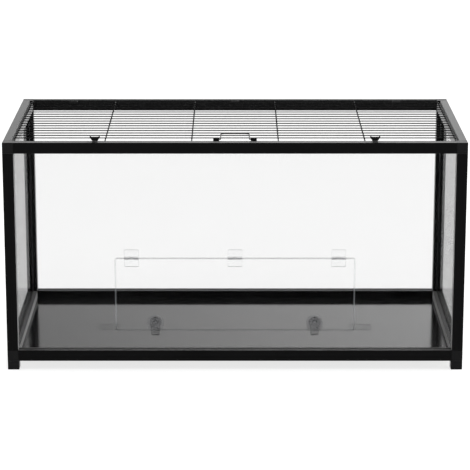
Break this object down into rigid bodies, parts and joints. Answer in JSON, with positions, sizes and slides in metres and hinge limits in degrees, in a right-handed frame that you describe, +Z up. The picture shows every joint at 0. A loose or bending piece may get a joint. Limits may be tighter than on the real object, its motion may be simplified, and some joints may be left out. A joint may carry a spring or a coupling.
{
  "type": "hamster cage",
  "caption": "Rectangular small-pet cage: black square-tube frame, clear panels, top-hung clear door with turning knobs, hinged wire-grid lid.",
  "frame": {"origin": "centre of the footprint, on the floor under the feet", "axes": "+X to the right and +Y to the rear as seen from the door side, +Z up"},
  "size_m": [1, 0.5, 0.5238],
  "materials": {
    "frame_tube": "semi-gloss black coat on aluminium tube",
    "corner_block": "black moulded plastic",
    "foot": "black moulded plastic",
    "screw_steel": "plain steel",
    "clear_panel": "clear acrylic sheet",
    "clear_fitting": "clear moulded plastic",
    "base_sheet": "glossy black plastic sheet",
    "pin_steel": "plain steel",
    "lid_wire": "black coated steel wire"
  },
  "bodies": {
    "cage": {"post_front_left": "frame_tube", "post_front_right": "frame_tube", "post_rear_left": "frame_tube", "post_rear_right": "frame_tube", "top_corner_front_left": "corner_block", "bottom_corner_front_left": "corner_block", "foot_front_left": "foot", "top_corner_front_right": "corner_block", "bottom_corner_front_right": "corner_block", "foot_front_right": "foot", "top_corner_rear_left": "corner_block", "bottom_corner_rear_left": "corner_block", "foot_rear_left": "foot", "top_corner_rear_right": "corner_block", "bottom_corner_rear_right": "corner_block", "foot_rear_right": "foot", "foot_screws": "screw_steel", "top_beam_front": "frame_tube", "bottom_beam_front": "frame_tube", "panel_front": "clear_panel", "top_beam_rear": "frame_tube", "bottom_beam_rear": "frame_tube", "panel_rear": "clear_panel", "top_beam_left": "frame_tube", "bottom_beam_left": "frame_tube", "panel_left": "clear_panel", "top_beam_right": "frame_tube", "bottom_beam_right": "frame_tube", "panel_right": "clear_panel", "base_sheet": "base_sheet", "door_hinge_upper_left": "clear_fitting", "door_hinge_upper_middle": "clear_fitting", "door_hinge_upper_right": "clear_fitting", "door_hinge_pins": "pin_steel", "lid_hinge_straps": "corner_block", "lid_strap_screws": "screw_steel"},
    "door": {"door_panel": "clear_panel", "door_hinge_lower_left": "clear_fitting", "door_hinge_lower_middle": "clear_fitting", "door_hinge_lower_right": "clear_fitting", "door_stop_left": "clear_fitting", "door_stop_right": "clear_fitting"},
    "door_knob_left": {"knob_left": "clear_fitting", "knob_tongue_left": "clear_fitting", "knob_spindle_left": "clear_fitting", "knob_retainer_left": "clear_fitting"},
    "door_knob_right": {"knob_right": "clear_fitting", "knob_tongue_right": "clear_fitting", "knob_spindle_right": "clear_fitting", "knob_retainer_right": "clear_fitting"},
    "lid": {"lid_border": "lid_wire", "lid_cross_wires": "lid_wire", "lid_long_wires": "lid_wire", "lid_handle_foot_left": "corner_block", "lid_handle_foot_right": "corner_block"},
    "clip_left": {"lid_clip_left": "corner_block"},
    "clip_right": {"lid_clip_right": "corner_block"},
    "handle": {"lid_handle": "lid_wire"}
  },
  "joints": [
    {"name": "door_hinge", "type": "hinge", "parent": "cage", "child": "door", "pos_m": [0, -0.2416, 0.2515], "axis": [-1, 0, 0], "range_deg": [0, 165]},
    {"name": "door_knob_turn_left", "type": "hinge", "parent": "door", "child": "door_knob_left", "pos_m": [-0.1746, -0.238, 0.1056], "axis": [0, -1, 0], "range_deg": [0, 90]},
    {"name": "door_knob_turn_right", "type": "hinge", "parent": "door", "child": "door_knob_right", "pos_m": [0.1746, -0.238, 0.1056], "axis": [0, 1, 0], "range_deg": [0, 90]},
    {"name": "lid_hinge", "type": "hinge", "parent": "cage", "child": "lid", "pos_m": [0, 0.2225, 0.5068], "axis": [-1, 0, 0], "range_deg": [0, 110]},
    {"name": "clip_turn_left", "type": "hinge", "parent": "lid", "child": "clip_left", "pos_m": [-0.301, -0.2225, 0.5068], "axis": [-1, 0, 0], "range_deg": [0, 90]},
    {"name": "clip_turn_right", "type": "hinge", "parent": "lid", "child": "clip_right", "pos_m": [0.301, -0.2225, 0.5068], "axis": [-1, 0, 0], "range_deg": [0, 90]},
    {"name": "handle_turn", "type": "hinge", "parent": "lid", "child": "handle", "pos_m": [0, -0.2225, 0.5121], "axis": [1, 0, 0], "range_deg": [0, 95]}
  ]
}
